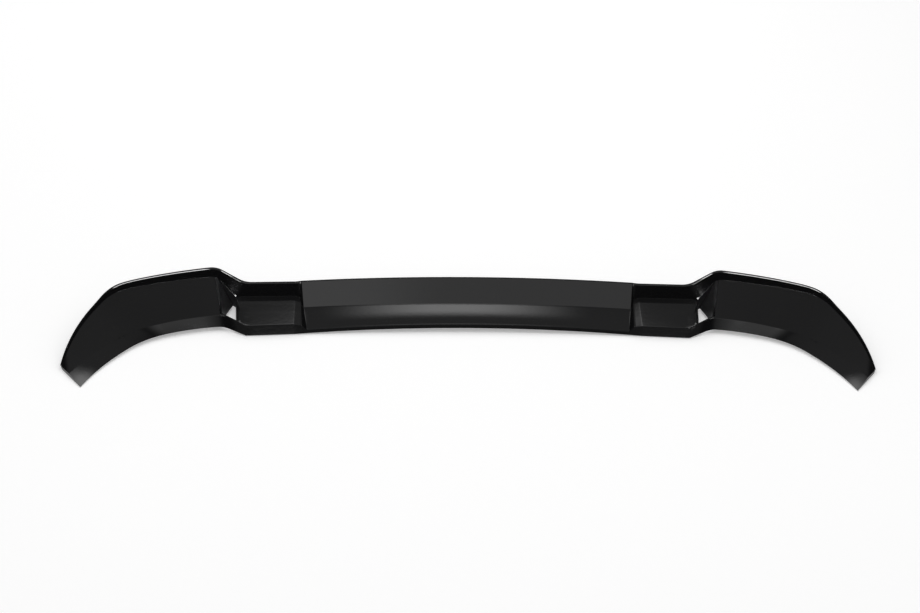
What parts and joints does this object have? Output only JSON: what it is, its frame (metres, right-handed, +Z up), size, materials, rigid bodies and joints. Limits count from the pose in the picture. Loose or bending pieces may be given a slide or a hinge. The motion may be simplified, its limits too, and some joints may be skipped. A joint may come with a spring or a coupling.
{
  "type": "car spoiler",
  "caption": "Gloss black lip spoiler for a car's rear edge, with raised swept wings, air slots, a low centre with a shallow recess, a ribbed hollow underside and bonding tape.",
  "frame": {"origin": "on the ground plane below the middle of the whole box", "axes": "+X to the right along the spoiler, +Y towards the back of the car, +Z up"},
  "size_m": [1.2158, 0.275, 0.0563],
  "materials": {
    "shell": "gloss black",
    "tape": "matt foam with its liner film"
  },
  "bodies": {
    "root": {"spoiler_shell": "shell", "front_tape_center": "tape", "rear_tape_center": "tape", "front_tape_left": "tape", "front_tape_right": "tape", "rear_tape_left": "tape", "rear_tape_right": "tape"}
  },
  "joints": []
}
